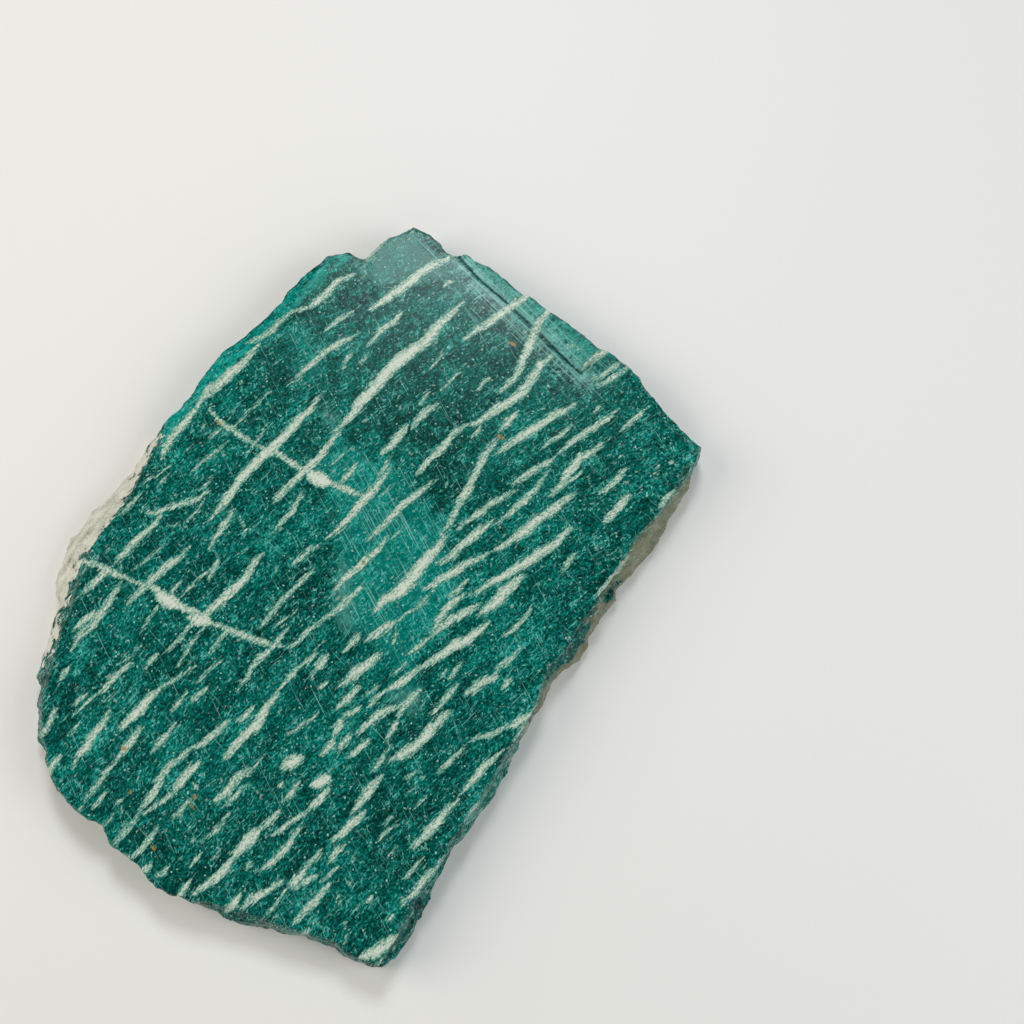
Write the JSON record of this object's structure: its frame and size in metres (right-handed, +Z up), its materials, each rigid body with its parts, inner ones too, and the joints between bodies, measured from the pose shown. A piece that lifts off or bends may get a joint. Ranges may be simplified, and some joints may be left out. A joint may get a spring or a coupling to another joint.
{
  "type": "rough amazonite slab",
  "caption": "Sawn slab of rough amazonite with broken edges, pale cross streaks and a lumpy light rind, lying flat on its sawn back.",
  "frame": {"origin": "middle of the slab's box, on its sawn back", "axes": "+Z up through the thickness, out of the sawn face that shows; +Y along the longest side of the box, towards the pointed apex; +X towards the bright right corner"},
  "size_m": [0.1101, 0.1246, 0.007],
  "materials": {
    "amazonite": "wet saw-cut teal feldspar with cream perthite streaks and flecks, pearly broken edges"
  },
  "bodies": {
    "root": {"amazonite_slab": "amazonite"}
  },
  "joints": []
}
